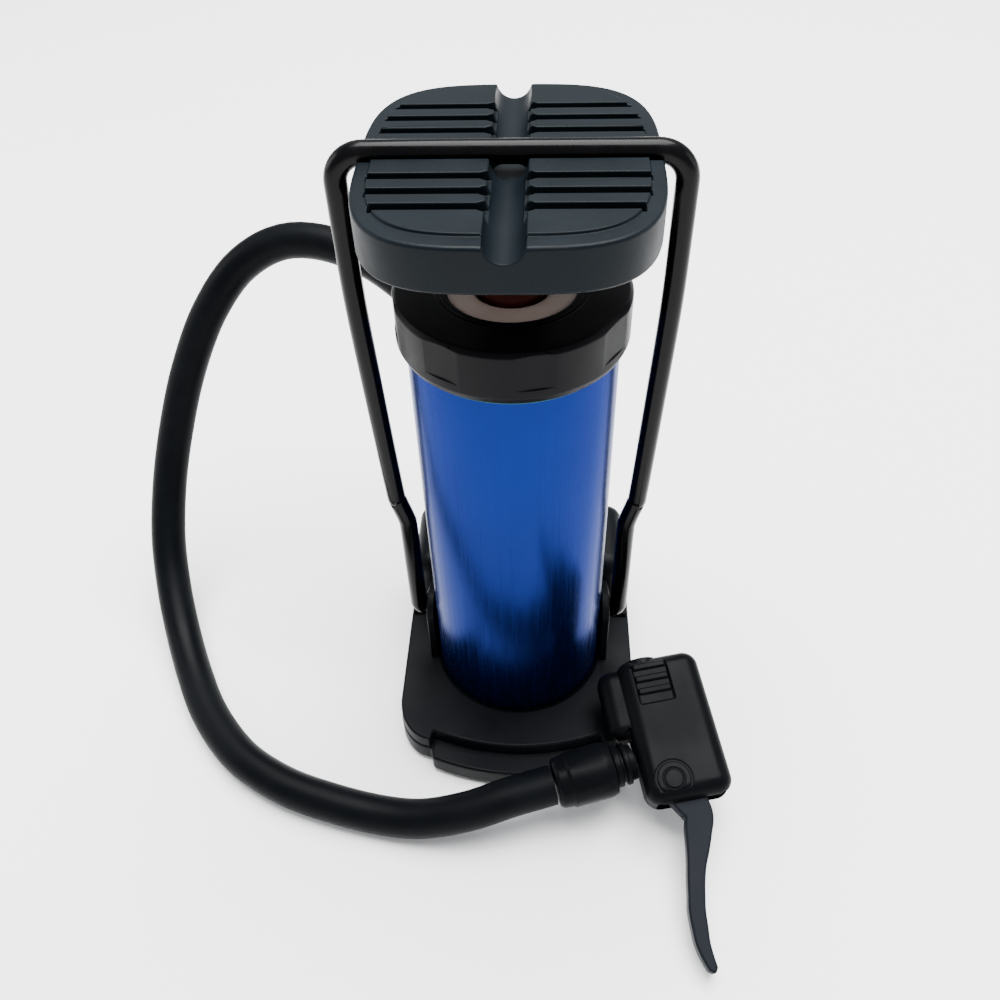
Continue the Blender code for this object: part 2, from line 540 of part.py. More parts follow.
def make_head():
    home = leaning_frame(HEAD_PIVOT, HEAD_TURN)
    thick = HEAD_HALF_THICK
    body = box("head_body", (HEAD_LEFT, HEAD_FOOT, -thick), (HEAD_RIGHT, HEAD_END, thick), None, home)
    body = to_mesh(body)
    round_edge = body.modifiers.new("Round", "BEVEL")
    round_edge.width = 4.2 * MM
    round_edge.segments = 4
    round_edge.limit_method = "ANGLE"
    body = to_mesh(body, "black_plastic")
    lobe = to_mesh(box("side_lobe", (-13.2 * MM, 13.6 * MM, -5.8 * MM), (-4 * MM, 33 * MM, 3.2 * MM), None,
                       home))
    lobe_edge = lobe.modifiers.new("Round", "BEVEL")
    lobe_edge.width = 3 * MM
    lobe_edge.segments = 3
    lobe_edge.limit_method = "ANGLE"
    boolean(body, to_mesh(lobe), "UNION")
    boolean(body, box("lever_slot", (-5.2 * MM, -8 * MM, -SLOT_HALF - GAP),
                      (HEAD_RIGHT + 3 * MM, SLOT_END, SLOT_HALF + GAP), None, home))
    boolean(body, rod("pin_bore", (0, 0, -20 * MM), (0, 0, 20 * MM), PIN_RADIUS + GAP, None, home, 20))
    boolean(body, rod("plunger_bore", (0, 5 * MM, 0), (0, 24 * MM, 0), 3.5 * MM, None, home, 24))
    boolean(body, rod("gland_bore", (0, 23 * MM, 0), (0, 40 * MM, 0), 5.3 * MM, None, home, 24))
    boolean(body, rod("neck_bore", (-12 * MM, 9.5 * MM, 0), (0, 9.5 * MM, 0), 1.6 * MM, None, home, 16))
    boolean(body, box("grip_recess", (-3.4 * MM, 21.2 * MM, thick - 0.7 * MM),
                      (6.4 * MM, 40 * MM, thick + 1 * MM), None, home))
    rod("lever_pin", (0, 0, -thick - 0.2 * MM), (0, 0, thick + 0.2 * MM), PIN_RADIUS, "black_steel", home, 24)
    lever = slab("lever", lever_outline(), -SLOT_HALF, SLOT_HALF, "lever_plastic", home)
    boolean(lever, rod("lever_bore", (0, 0, -10 * MM), (0, 0, 10 * MM), PIN_RADIUS + GAP, None, home, 24))
    rod("plunger", (0, 6 * MM, 0), (0, 21.6 * MM, 0), 3.2 * MM, "cream_nylon", home, 24)
    gland = rod("valve_gland", (0, 24.2 * MM, 0), (0, 32 * MM, 0), 5 * MM, "rubber", home, 24)
    boolean(gland, rod("gland_hole", (0, 22 * MM, 0), (0, 40 * MM, 0), 3.9 * MM, None, home, 20))
    cap = rod("gland_cap", (0, 32.3 * MM, 0), (0, HEAD_END, 0), 5 * MM, "black_plastic", home, 24)
    boolean(cap, rod("cap_hole", (0, 30 * MM, 0), (0, 45 * MM, 0), 4 * MM, None, home, 20))
    neck = leaning_frame(NECK_ORIGIN, NECK_TURN)
    rod("head_neck", (NECK_START, NECK_Y, 0), (NECK_END, NECK_Y, 0), 4.8 * MM, "black_plastic", neck, 24)
    smooth(rod("head_ferrule", (NECK_END - GAP, NECK_Y, 0), (FERRULE_END, NECK_Y, 0), 6.2 * MM,
               "black_plastic", neck, 24, 5.9 * MM))


def make_hose():
    tube("hose", smooth_route(HOSE_ROUTE, HOSE_SPACING), HOSE_RADIUS, "rubber", 3)


make_base()
make_barrel()
make_outlet()
make_pedal()
make_piston()
make_bail()
make_hose()
make_head()
bpy.context.view_layer.update()
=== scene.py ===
"""The looks of a stowed foot air pump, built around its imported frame. Metres, +Z up."""

import json
import math

import bmesh
import bpy
from mathutils import Matrix, Vector


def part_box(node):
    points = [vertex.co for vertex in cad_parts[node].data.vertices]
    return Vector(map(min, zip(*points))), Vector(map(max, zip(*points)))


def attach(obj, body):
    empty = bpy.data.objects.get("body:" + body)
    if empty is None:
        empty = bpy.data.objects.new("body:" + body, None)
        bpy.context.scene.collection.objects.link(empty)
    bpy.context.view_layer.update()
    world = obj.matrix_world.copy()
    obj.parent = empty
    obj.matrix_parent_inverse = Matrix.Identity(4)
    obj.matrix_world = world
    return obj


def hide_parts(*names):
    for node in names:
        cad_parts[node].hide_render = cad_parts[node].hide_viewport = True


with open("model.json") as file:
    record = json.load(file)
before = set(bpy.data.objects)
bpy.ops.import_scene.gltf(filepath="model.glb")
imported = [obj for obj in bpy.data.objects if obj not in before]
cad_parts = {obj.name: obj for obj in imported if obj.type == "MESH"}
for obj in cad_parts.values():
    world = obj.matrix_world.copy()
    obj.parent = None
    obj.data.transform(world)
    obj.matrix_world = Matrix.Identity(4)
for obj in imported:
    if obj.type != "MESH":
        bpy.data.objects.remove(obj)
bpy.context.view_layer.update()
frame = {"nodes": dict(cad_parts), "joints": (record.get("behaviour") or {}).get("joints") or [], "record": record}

MM = 0.001
MERGE_DISTANCE = 0.00002
ON_AXIS = 1e-7

# ---------- measures taken from the frame ----------
pedal_low, pedal_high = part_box("pedal")
barrel_low, barrel_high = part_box("barrel")
collar_low, collar_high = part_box("collar")
base_low, base_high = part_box("base_body")
rod_low, rod_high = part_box("piston_rod")
bush_low, bush_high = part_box("rod_guide_bush")
nozzle_low, nozzle_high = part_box("outlet_nozzle")
outlet_low, outlet_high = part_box("outlet_ferrule")

BARREL_RADIUS = barrel_high.x
BARREL_BORE = 22.5 * MM
COLLAR_RADIUS = collar_high.x
COLLAR_HOLE = 14.6 * MM
COLLAR_SHOULDER = 136 * MM
COLLAR_SEAT = 128.3 * MM
ROD_STEP = 43.3 * MM
ROD_RADIUS = rod_high.x
BASE_HALF_WIDTH = base_high.x
BASE_HALF_LENGTH = base_high.y
BASE_FLOOR = base_low.z
BASE_TOP = 12 * MM
LIP_TOP = 7.5 * MM
LIP_BEND = 61 * MM
HOUSING_HALF_WIDTH = 32.2 * MM
HOUSING_FRONT = 12 * MM
SEAT_RADIUS = BARREL_RADIUS + 0.3 * MM
HOUSING_TOP = base_high.z
PEDAL_TOP = pedal_high.z
PEDAL_BOTTOM = pedal_low.z
PEDAL_HALF_WIDTH = pedal_high.x
PEDAL_HALF_LENGTH = pedal_high.y
PEDAL_SQUARENESS = 3.44
PEDAL_RIM_TOP = 168.4 * MM
SCREW_HEAD_SEAT = 163.4 * MM
ROD_SOCKET_END = 161.6 * MM
WIRE_RADIUS = 2.4 * MM
PIVOT = Vector(next(j["pos_m"] for j in frame["joints"] if j["name"] == "bail_swing"))
VALVE_Y = (nozzle_low.y + nozzle_high.y) / 2

# ---------- valve head: x across it, y along it, z out of its face ----------
HEAD_LEAN = math.radians(15)
HEAD_TURN = math.radians(12)
HEAD_PIVOT = Vector(next(j["pos_m"] for j in frame["joints"] if j["name"] == "lever_swing"))
HEAD_HALF_THICK = 6.3 * MM
HEAD_LEFT = -7.8 * MM
HEAD_RIGHT = 15.6 * MM
HEAD_FOOT = -5.5 * MM
HEAD_END = 34.5 * MM
# The lever's centre line in mm: x, y and half its width there
LEVER_LINE = [
    (3.2, -4.5, 4.6), (4.7, -9, 3.8), (3.5, -13, 3.5), (2.2, -17, 3.0), (0.8, -20.7, 2.5),
    (-0.4, -24.3, 2.3), (-1.4, -28, 2.2), (-2.3, -31.6, 2.2), (-2.7, -35.3, 2.1), (-3, -38.9, 1.9),
    (-2.7, -42, 1.6), (-2.1, -45, 1.2),
]
NECK_ORIGIN = Vector((41.6, -47.3, 16.4)) * MM
NECK_TURN = math.radians(17)
NECK_Y = 7 * MM
NECK_START = -7.9 * MM
NECK_END = -13.6 * MM
FERRULE_END = -29.9 * MM

HOSE_RADIUS = 5.3 * MM
# The hose's centre line in mm, from the outlet to the coupling
HOSE_ROUTE = [
    (0, 33.5, 52.8), (0, 33.6, 61), (-3.2, 36.3, 74), (-13, 44.5, 88.5), (-29, 57, 100),
    (-48, 69, 107), (-68, 75, 108), (-84, 74, 101), (-96, 68, 88), (-105, 60, 71),
    (-111, 51, 54), (-114.5, 41.5, 39), (-115, 30, 26.5), (-112.5, 18, 16.8), (-107.5, 4.5, 10),
    (-100.5, -10, 6.6), (-92, -24, 5.5), (-80, -37, 5.4), (-66, -45.6, 5.4), (-51, -50.8, 5.4),
    (-37, -54.0, 5.4), (-25, -55.7, 7.2), (-12.5, -55.5, 11.6), (-0.9, -52.85, 14.9), (10.3, -49.5, 15.8),
]


# ---------- materials ----------

class Finish:
    """A Principled material with a node tree that is filled step by step."""

    def __init__(self, name, colour, roughness, metallic=0.0, specular=0.5):
        self.material = bpy.data.materials.new(name)
        self.material.use_nodes = True
        self.nodes = self.material.node_tree.nodes
        self.links = self.material.node_tree.links
        self.shader = self.nodes["Principled BSDF"]
        self.shader.inputs["Base Color"].default_value = (*colour, 1)
        self.shader.inputs["Roughness"].default_value = roughness
        self.shader.inputs["Metallic"].default_value = metallic
        self.shader.inputs["Specular IOR Level"].default_value = specular
        self.colour = colour
        self.height = None
        self.place = self.nodes.new("ShaderNodeTexCoord").outputs["Object"]

    def noise(self, scale, detail=4.0, stretch=(1, 1, 1), roughness=0.55):
        """A noise value whose scale is in cycles per metre, stretched along an axis."""
        mapping = self.nodes.new("ShaderNodeMapping")
        mapping.inputs["Scale"].default_value = stretch
        self.links.new(self.place, mapping.inputs["Vector"])
        noise = self.nodes.new("ShaderNodeTexNoise")
        noise.inputs["Scale"].default_value = scale
        noise.inputs["Detail"].default_value = detail
        noise.inputs["Roughness"].default_value = roughness
        self.links.new(mapping.outputs["Vector"], noise.inputs["Vector"])
        return noise.outputs["Fac"]

    def remap(self, value, low, high, to_low, to_high):
        span = self.nodes.new("ShaderNodeMapRange")
        span.inputs["From Min"].default_value = low
        span.inputs["From Max"].default_value = high
        span.inputs["To Min"].default_value = to_low
        span.inputs["To Max"].default_value = to_high
        self.links.new(value, span.inputs["Value"])
        return span.outputs["Result"]

    def vary_roughness(self, value, low, high, spread=(0.35, 0.65)):
        self.links.new(self.remap(value, *spread, low, high), self.shader.inputs["Roughness"])

    def mix_colour(self, value, other, spread=(0.4, 0.7)):
        """Blends another colour in where the value is high, over what is there."""
        mix = self.nodes.new("ShaderNodeMix")
        mix.data_type = "RGBA"
        base = self.shader.inputs["Base Color"]
        if base.is_linked:
            self.links.new(base.links[0].from_socket, mix.inputs["A"])
        else:
            mix.inputs["A"].default_value = (*self.colour, 1)
        mix.inputs["B"].default_value = (*other, 1)
        self.links.new(self.remap(value, *spread, 0, 1), mix.inputs["Factor"])
        self.links.new(mix.outputs["Result"], base)

    def bump(self, value, distance, strength=1.0):
        node = self.nodes.new("ShaderNodeBump")
        node.inputs["Distance"].default_value = distance
        node.inputs["Strength"].default_value = strength
        self.links.new(value, node.inputs["Height"])
        if self.height is not None:
            self.links.new(self.height, node.inputs["Normal"])
        self.height = node.outputs["Normal"]
        self.links.new(self.height, self.shader.inputs["Normal"])


def moulded(name, colour, roughness, worn, grain=2600, depth=0.03, *, specular):
    """Moulded plastic: fine spark-eroded grain, faint flow marks, dusty scuffs."""
    finish = Finish(name, colour, roughness, specular=specular)
    fine = finish.noise(grain, 3)
    cloud = finish.noise(60, 5)
    scuff = finish.noise(340, 8, roughness=0.7)
    finish.mix_colour(cloud, tuple(c * 1.3 for c in colour), (0.35, 0.75))
    finish.mix_colour(scuff, worn, (0.62, 0.92))
    finish.vary_roughness(cloud, roughness - 0.07, roughness + 0.09)
    finish.bump(fine, depth * MM, 0.6)
    finish.bump(cloud, 0.06 * MM, 0.3)
    return finish.material


def glossy_coat(name, colour, roughness):
    """Gloss paint on wire: orange peel and faint rub marks."""
    finish = Finish(name, colour, roughness, specular=0.09)
    peel = finish.noise(420, 3)
    rub = finish.noise(150, 6, (1, 1, 0.15))
    finish.mix_colour(rub, tuple(c * 2.0 + 0.002 for c in colour), (0.55, 0.85))
    finish.vary_roughness(rub, roughness, roughness + 0.14, (0.45, 0.75))
    finish.bump(peel, 0.02 * MM, 0.5)
    return finish.material


def anodised(name, colour):
    """Blue anodised tube: deep gloss, drawn lines along it and faint mottling."""
    finish = Finish(name, colour, 0.16, metallic=0.92, specular=0.3)
    finish.shader.inputs["Specular Tint"].default_value = (0.55, 0.58, 0.75, 1)
    drawn = finish.noise(900, 4, (1, 1, 0.012))
    cloud = finish.noise(26, 5)
    finish.mix_colour(cloud, (colour[0] * 0.75, colour[1] * 0.8, colour[2] * 0.82), (0.4, 0.75))
    finish.vary_roughness(drawn, 0.2, 0.3, (0.3, 0.7))
    finish.bump(drawn, 0.004 * MM, 0.3)
    return finish.material


def polished(name, colour, low, high, along=(1, 1, 0.02), scale=1400):
    """Bare or plated metal with fine draw or turning marks."""
    finish = Finish(name, colour, low, metallic=1.0)
    lines = finish.noise(scale, 4, along)
    cloud = finish.noise(70, 4)
    finish.mix_colour(cloud, tuple(c * 0.72 for c in colour), (0.4, 0.8))
    finish.vary_roughness(lines, low, high, (0.3, 0.7))
    finish.bump(lines, 0.008 * MM, 0.4)
    return finish.material


def rubbery(name, colour, roughness, bloom):
    """Rubber: soft sheen, fine skin, a pale bloom in patches."""
    finish = Finish(name, colour, roughness, specular=0.04)
    skin = finish.noise(1900, 3)
    patch = finish.noise(45, 6)
    finish.mix_colour(patch, bloom, (0.45, 0.85))
    finish.vary_roughness(patch, roughness - 0.08, roughness + 0.1)
    finish.bump(skin, 0.02 * MM, 0.5)
    return finish.material


MATERIALS = {
    "black_plastic": moulded("black_plastic_look", (0.0016, 0.0021, 0.0029), 0.46,
                             worn=(0.004, 0.0048, 0.0056), specular=0.06),
    "head_plastic": moulded("head_plastic_look", (0.0018, 0.0021, 0.0026), 0.33,
                            worn=(0.005, 0.0052, 0.0056), grain=1500, specular=0.028),
    "collar_plastic": moulded("collar_plastic_look", (0.0019, 0.0018, 0.0025), 0.4,
                              worn=(0.004, 0.004, 0.0045), specular=0.06),
    "pedal_plastic": moulded("pedal_plastic_look", (0.0026, 0.0045, 0.0062), 0.42,
                             worn=(0.0075, 0.0105, 0.0125), grain=1900, depth=0.05, specular=0.07),
    "blue_aluminium": anodised("blue_aluminium_look", (0.0045, 0.013, 0.1)),
    "black_steel": glossy_coat("black_steel_look", (0.001, 0.001, 0.0013), 0.16),
    # The rod's brown base colour is a painted reflection: it stands in for the wood that the bare metal rod
    # reflects.
    "rod_metal": polished("rod_painted_wood_reflection_look", (0.13, 0.045, 0.04), 0.16, 0.26),
    "cream_nylon": moulded("cream_nylon_look", (0.42, 0.33, 0.29), 0.42,
                           worn=(0.3, 0.22, 0.18), specular=0.3),
    "bright_steel": polished("bright_steel_look", (0.40, 0.40, 0.39), 0.24, 0.38, along=(1, 1, 1), scale=900),
    "rubber": rubbery("rubber_look", (0.0014, 0.0018, 0.0025), 0.45, bloom=(0.003, 0.0036, 0.0045)),
    "lever_plastic": moulded("lever_plastic_look", (0.0055, 0.0065, 0.009), 0.4,
                             worn=(0.012, 0.013, 0.016), specular=0.03),
    "teal_seam": moulded("teal_seam_look", (0.004, 0.09, 0.075), 0.4,
                         worn=(0.01, 0.12, 0.1), specular=0.2),
}


# ---------- building pieces ----------

def finish_piece(thing, body, look, nodes=()):
    """Gives a piece its material and body, and hides the CAD nodes that it stands for."""
    thing.data.materials.clear()
    thing.data.materials.append(MATERIALS[look])
    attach(thing, body)
    if nodes:
        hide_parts(*nodes)
    return thing


def link(name, data, home=None):
    """A new object in the scene, placed by home when that is given."""
    thing = bpy.data.objects.new(name, data)
    bpy.context.scene.collection.objects.link(thing)
    if home is not None:
        thing.matrix_world = home
    return thing


def from_shape(name, shape, home=None):
    """An object from a bmesh, which is freed."""
    mesh = bpy.data.meshes.new(name)
    shape.to_mesh(mesh)
    shape.free()
    return link(name, mesh, home)


def applied(thing):
    """Replaces the object's data with its evaluated mesh and drops its modifiers."""
    bpy.context.view_layer.update()
    graph = bpy.context.evaluated_depsgraph_get()
    mesh = bpy.data.meshes.new_from_object(thing.evaluated_get(graph))
    name, home = thing.name, thing.matrix_world.copy()
    bpy.data.objects.remove(thing)
    return link(name, mesh, home)


def smooth(thing, degrees):
    thing.data.shade_smooth()
    thing.data.set_sharp_from_angle(angle=math.radians(degrees))
    return thing


def turned(name, profile, sides=128, home=None):
    """A closed profile of (radius, height) turned about Z; points on the axis close it there."""
    shape = bmesh.new()
    rings = []
    for radius, height in profile:
        if radius < ON_AXIS:
            rings.append([shape.verts.new((0, 0, height))])
            continue
        rings.append([shape.verts.new((radius * math.cos(2 * math.pi * i / sides),
                                       radius * math.sin(2 * math.pi * i / sides), height))
                      for i in range(sides)])
    pairs = list(zip(rings, rings[1:]))
    if len(rings[0]) > 1 or len(rings[-1]) > 1:
        pairs.append((rings[-1], rings[0]))
    for upper, lower in pairs:
        for i in range(sides):
            j = (i + 1) % sides
            corners = [upper[i % len(upper)], lower[i % len(lower)], lower[j % len(lower)],
                       upper[j % len(upper)]]
            unique = list(dict.fromkeys(corners))
            if len(unique) > 2:
                shape.faces.new(unique)
    bmesh.ops.recalc_face_normals(shape, faces=shape.faces)
    return smooth(from_shape(name, shape, home), 30)


def rounded(corners, radius, steps=4):
    """A closed profile with each corner replaced by a short arc."""
    out = []
    count = len(corners)
    for i, corner in enumerate(corners):
        here = Vector(corner)
        before, after = Vector(corners[i - 1]), Vector(corners[(i + 1) % count])
        if here.x < ON_AXIS:
            out.append(tuple(here))
            continue
        reach = min(radius, (before - here).length * 0.45, (after - here).length * 0.45)
        start = here + (before - here).normalized() * reach
        end = here + (after - here).normalized() * reach
        for k in range(steps + 1):
            t = k / steps
            spot = start.lerp(here, t).lerp(here.lerp(end, t), t)
            out.append(tuple(spot))
    return out


def slab(name, outline, low, high, home=None):
    """A flat outline standing from low to high, as a closed mesh of n-gons."""
    shape = bmesh.new()
    bottom = [shape.verts.new((x, y, low)) for x, y in outline]
    top = [shape.verts.new((x, y, high)) for x, y in outline]
    shape.faces.new(top)
    shape.faces.new(bottom[::-1])
    for i in range(len(outline)):
        j = (i + 1) % len(outline)
        shape.faces.new([bottom[i], bottom[j], top[j], top[i]])
    bmesh.ops.recalc_face_normals(shape, faces=shape.faces)
    return from_shape(name, shape, home)


def block(name, low, high, home=None):
    outline = [(low[0], low[1]), (high[0], low[1]), (high[0], high[1]), (low[0], high[1])]
    return slab(name, outline, low[2], high[2], home)


def rod(name, start, end, radius, sides=48, home=None):
    """A closed cylinder between two points."""
    start, end = Vector(start), Vector(end)
    run = end - start
    shape = bmesh.new()
    bmesh.ops.create_cone(shape, cap_ends=True, segments=sides, radius1=radius,
                          radius2=radius, depth=run.length)
    turn = run.to_track_quat("Z", "Y").to_matrix().to_4x4()
    bmesh.ops.transform(shape, matrix=Matrix.Translation((start + end) / 2) @ turn, verts=shape.verts)
    return from_shape(name, shape, home)


def boolean(target, tool, operation="DIFFERENCE"):
    """Cuts or joins at once, and removes the tool."""
    change = target.modifiers.new("Cut", "BOOLEAN")
    change.operation = operation
    change.object = tool
    made = applied(target)
    bpy.data.objects.remove(tool)
    return made


def clean(thing):
    """Merges doubled points and dissolves the flat edges that a boolean leaves."""
    shape = bmesh.new()
    shape.from_mesh(thing.data)
    bmesh.ops.remove_doubles(shape, verts=shape.verts, dist=MERGE_DISTANCE)
    bmesh.ops.dissolve_limit(shape, angle_limit=math.radians(1.0), verts=shape.verts, edges=shape.edges)
    shape.to_mesh(thing.data)
    shape.free()
    return thing


def bevelled(thing, width, segments, degrees):
    """Rounds every edge sharper than the angle, and keeps the flat faces flat in the shading."""
    edge = thing.modifiers.new("Edges", "BEVEL")
    edge.width = width
    edge.segments = segments
    edge.limit_method = "ANGLE"
    edge.angle_limit = math.radians(degrees)
    edge.use_clamp_overlap = False
    thing.data.shade_smooth()
    weighted = thing.modifiers.new("Flat faces", "WEIGHTED_NORMAL")
    weighted.weight = 100
    return applied(thing)


def arc(cx, cy, radius_x, radius_y, start, end, count):
    """Points along part of an ellipse, from one angle in degrees to another."""
    angles = [math.radians(start + (end - start) * i / count) for i in range(count + 1)]
    return [(cx + radius_x * math.cos(a), cy + radius_y * math.sin(a)) for a in angles]


def superellipse(width, length, squareness):
    """A rounded rectangle by formula; the arguments are its half sizes."""
    count = 160
    spots = []
    for i in range(count):
        a = 2 * math.pi * i / count
        c, s = math.cos(a), math.sin(a)
        spots.append((width * math.copysign(abs(c) ** (2 / squareness), c),
                      length * math.copysign(abs(s) ** (2 / squareness), s)))
    return spots


def through(places, per_span=8):
    """One smooth Catmull-Rom line through the places."""
    places = [Vector(p) for p in places]
    ends = [2 * places[0] - places[1], *places, 2 * places[-1] - places[-2]]
    line = []
    for a, b, c, d in zip(ends, ends[1:], ends[2:], ends[3:]):
        for i in range(per_span):
            t = i / per_span
            line.append(0.5 * (2 * b + (c - a) * t + (2 * a - 5 * b + 4 * c - d) * t * t
                               + (3 * b - a - 3 * c + d) * t ** 3))
    line.append(places[-1])
    return line


def wire(name, points, radius, sides):
    """A round wire or hose as a curve with filled caps."""
    curve = bpy.data.curves.new(name, "CURVE")
    curve.dimensions = "3D"
    curve.bevel_depth = radius
    curve.bevel_resolution = sides
    curve.use_fill_caps = True
    spline = curve.splines.new("POLY")
    spline.points.add(len(points) - 1)
    for point, place in zip(spline.points, points):
        point.co = (*place, 1)
    spline.use_smooth = True
    return link(name, curve)


# ---------- base ----------

def base_outline(inset, nose):
    """The base from above, drawn in by inset, with its bowed front edge at -nose."""
    corner_width, corner_length, rear_corner = 10 * MM, 14 * MM, 7 * MM
    half = arc(BASE_HALF_WIDTH - corner_width, -20 * MM, corner_width - inset, corner_length - inset, -90, 0, 24)
    half += arc(BASE_HALF_WIDTH - rear_corner, BASE_HALF_LENGTH - rear_corner,
                rear_corner - inset, rear_corner - inset, 0, 90, 15)
    lip_end, steps = 24 * MM - inset, 15
    across = [lip_end * i / steps for i in range(steps + 1)]
    half = [(x, -nose + inset + x * x / (2 * LIP_BEND)) for x in across] + half
    return half + [(-x, y) for x, y in reversed(half[1:])]


def make_base():
    """Lip, deck, rear housing with the valve bore, and the two ears that hold the bail."""
    lip = slab("base_lip", base_outline(0, 42 * MM), BASE_FLOOR, LIP_TOP)
    finish_piece(bevelled(lip, 0.8 * MM, 3, 50), "base", "black_plastic", ["base_body"])
    deck = slab("base_deck", base_outline(0.2 * MM, 36 * MM), LIP_TOP - 0.4 * MM, BASE_TOP)
    deck = boolean(deck, rod("seat", (0, 0, BASE_TOP - 0.2 * MM), (0, 0, 60 * MM), SEAT_RADIUS, 128))
    finish_piece(bevelled(deck, 0.7 * MM, 3, 50), "base", "black_plastic", ["base_body"])
    housing = block("base_housing", (-HOUSING_HALF_WIDTH, HOUSING_FRONT, 4 * MM),
                    (HOUSING_HALF_WIDTH, 40 * MM, HOUSING_TOP))
    housing = bevelled(housing, 5 * MM, 8, 50)
    housing = boolean(housing, rod("clearance", (0, 0, 0), (0, 0, 60 * MM), SEAT_RADIUS, 128))
    housing = boolean(housing, rod("valve_bore", (0, VALVE_Y, 13 * MM), (0, VALVE_Y, 40 * MM), 4 * MM, 48))
    finish_piece(bevelled(clean(housing), 0.4 * MM, 2, 40), "base", "black_plastic", ["base_body"])
    sideways = Matrix(((0, 0, 1, 0), (1, 0, 0, 0), (0, 1, 0, 0), (0, 0, 0, 1)))
    eye, root = 5.8 * MM, HOUSING_FRONT + 4 * MM
    outline = [(-eye, 9 * MM), (root, 9 * MM), (root, 26 * MM)]
    outline += arc(0, PIVOT.z, eye, eye, 60, 180, 24)
    for side, word in ((-1, "left"), (1, "right")):
        near, far = sorted((side * 24.4 * MM, side * 26.6 * MM))
        ear = slab(f"pivot_ear_{word}", outline, near, far, sideways)
        ear = boolean(ear, rod("pivot_bore", (-40 * MM, 0, PIVOT.z), (40 * MM, 0, PIVOT.z),
                               WIRE_RADIUS + 0.3 * MM, 40))
        finish_piece(bevelled(clean(ear), 0.35 * MM, 2, 40), "base", "black_plastic", ["base_body"])
        near, far = sorted((side * 27.4 * MM, side * 33.9 * MM))
        ledge = block(f"base_ledge_{word}", (near, HOUSING_FRONT - 1.2 * MM, 10 * MM),
                      (far, HOUSING_FRONT + 6 * MM, BASE_TOP + 1.6 * MM))
        finish_piece(bevelled(ledge, 0.5 * MM, 3, 40), "base", "black_plastic", ["base_body"])


# ---------- barrel, collar, bush, rod ----------

def make_barrel():
    """Everything turned about the pump's axis: tube, collar, seam, bush and rod."""
    low, high = barrel_low.z, barrel_high.z
    tube = turned("barrel_tube", rounded([
        (BARREL_RADIUS, high), (BARREL_RADIUS, low), (BARREL_BORE, low), (BARREL_BORE, high)], 0.5 * MM), 192)
    finish_piece(tube, "base", "blue_aluminium", ["barrel"])
    top, edge = collar_high.z, 0.96 * MM
    shape = rounded([
        (COLLAR_RADIUS - edge, top), (COLLAR_RADIUS, top - edge), (COLLAR_RADIUS, 129 * MM),
        (BARREL_RADIUS + 1.1 * MM, collar_low.z), (BARREL_RADIUS + 0.3 * MM, collar_low.z),
        (BARREL_RADIUS + 0.3 * MM, COLLAR_SEAT), (COLLAR_HOLE + 2.4 * MM, COLLAR_SEAT),
        (COLLAR_HOLE + 2.4 * MM, COLLAR_SHOULDER), (COLLAR_HOLE, COLLAR_SHOULDER), (COLLAR_HOLE, top),
        (COLLAR_HOLE + 1.0 * MM, top), (COLLAR_HOLE + 1.4 * MM, top - 0.5 * MM),
        (COLLAR_HOLE + 2.0 * MM, top - 0.5 * MM), (COLLAR_HOLE + 2.4 * MM, top)], 0.35 * MM, 3)
    collar = turned("barrel_collar", shape, 192)
    grips = 8
    for k in range(grips):
        turn = Matrix.Rotation(math.radians(360 / grips * k + 12), 4, "Z")
        collar = boolean(collar, block("flat", (COLLAR_RADIUS - 0.32 * MM, -4.6 * MM, 131 * MM),
                                       (COLLAR_RADIUS + 2 * MM, 4.6 * MM, 150 * MM), turn))
    collar.name = "barrel_collar"
    collar = bevelled(clean(collar), 0.15 * MM, 2, 25)
    finish_piece(collar, "base", "collar_plastic", ["collar"])
    inner, outer = BARREL_RADIUS + 0.02 * MM, BARREL_RADIUS + 0.5 * MM
    low, high = 126.7 * MM, 127.1 * MM
    seam = turned("collar_gasket", [(outer, high), (outer, low), (inner, low), (inner, high)], 128)
    finish_piece(seam, "base", "teal_seam", [])
    bush_top = bush_high.z
    bush = turned("guide_bush", rounded([
        (COLLAR_HOLE - 0.3 * MM, bush_top), (COLLAR_HOLE - 0.3 * MM, 135.7 * MM),
        (COLLAR_HOLE + 2.1 * MM, 135.7 * MM), (COLLAR_HOLE + 2.1 * MM, 128 * MM),
        (BARREL_BORE - 0.3 * MM, 127.7 * MM), (BARREL_BORE - 0.3 * MM, bush_low.z),
        (ROD_RADIUS + 0.3 * MM, bush_low.z), (ROD_RADIUS + 0.3 * MM, bush_top - 0.8 * MM),
        (ROD_RADIUS + 1.1 * MM, bush_top)], 0.3 * MM, 3), 128)
    finish_piece(bush, "base", "cream_nylon", ["rod_guide_bush"])
    shaft = turned("piston_shaft", rounded([
        (0, rod_high.z), (ROD_RADIUS, rod_high.z), (ROD_RADIUS, ROD_STEP), (4 * MM, ROD_STEP),
        (4 * MM, rod_low.z), (0, rod_low.z)], 0.4 * MM, 3), 128)
    finish_piece(shaft, "treadle", "rod_metal", ["piston_rod"])


# ---------- treadle ----------

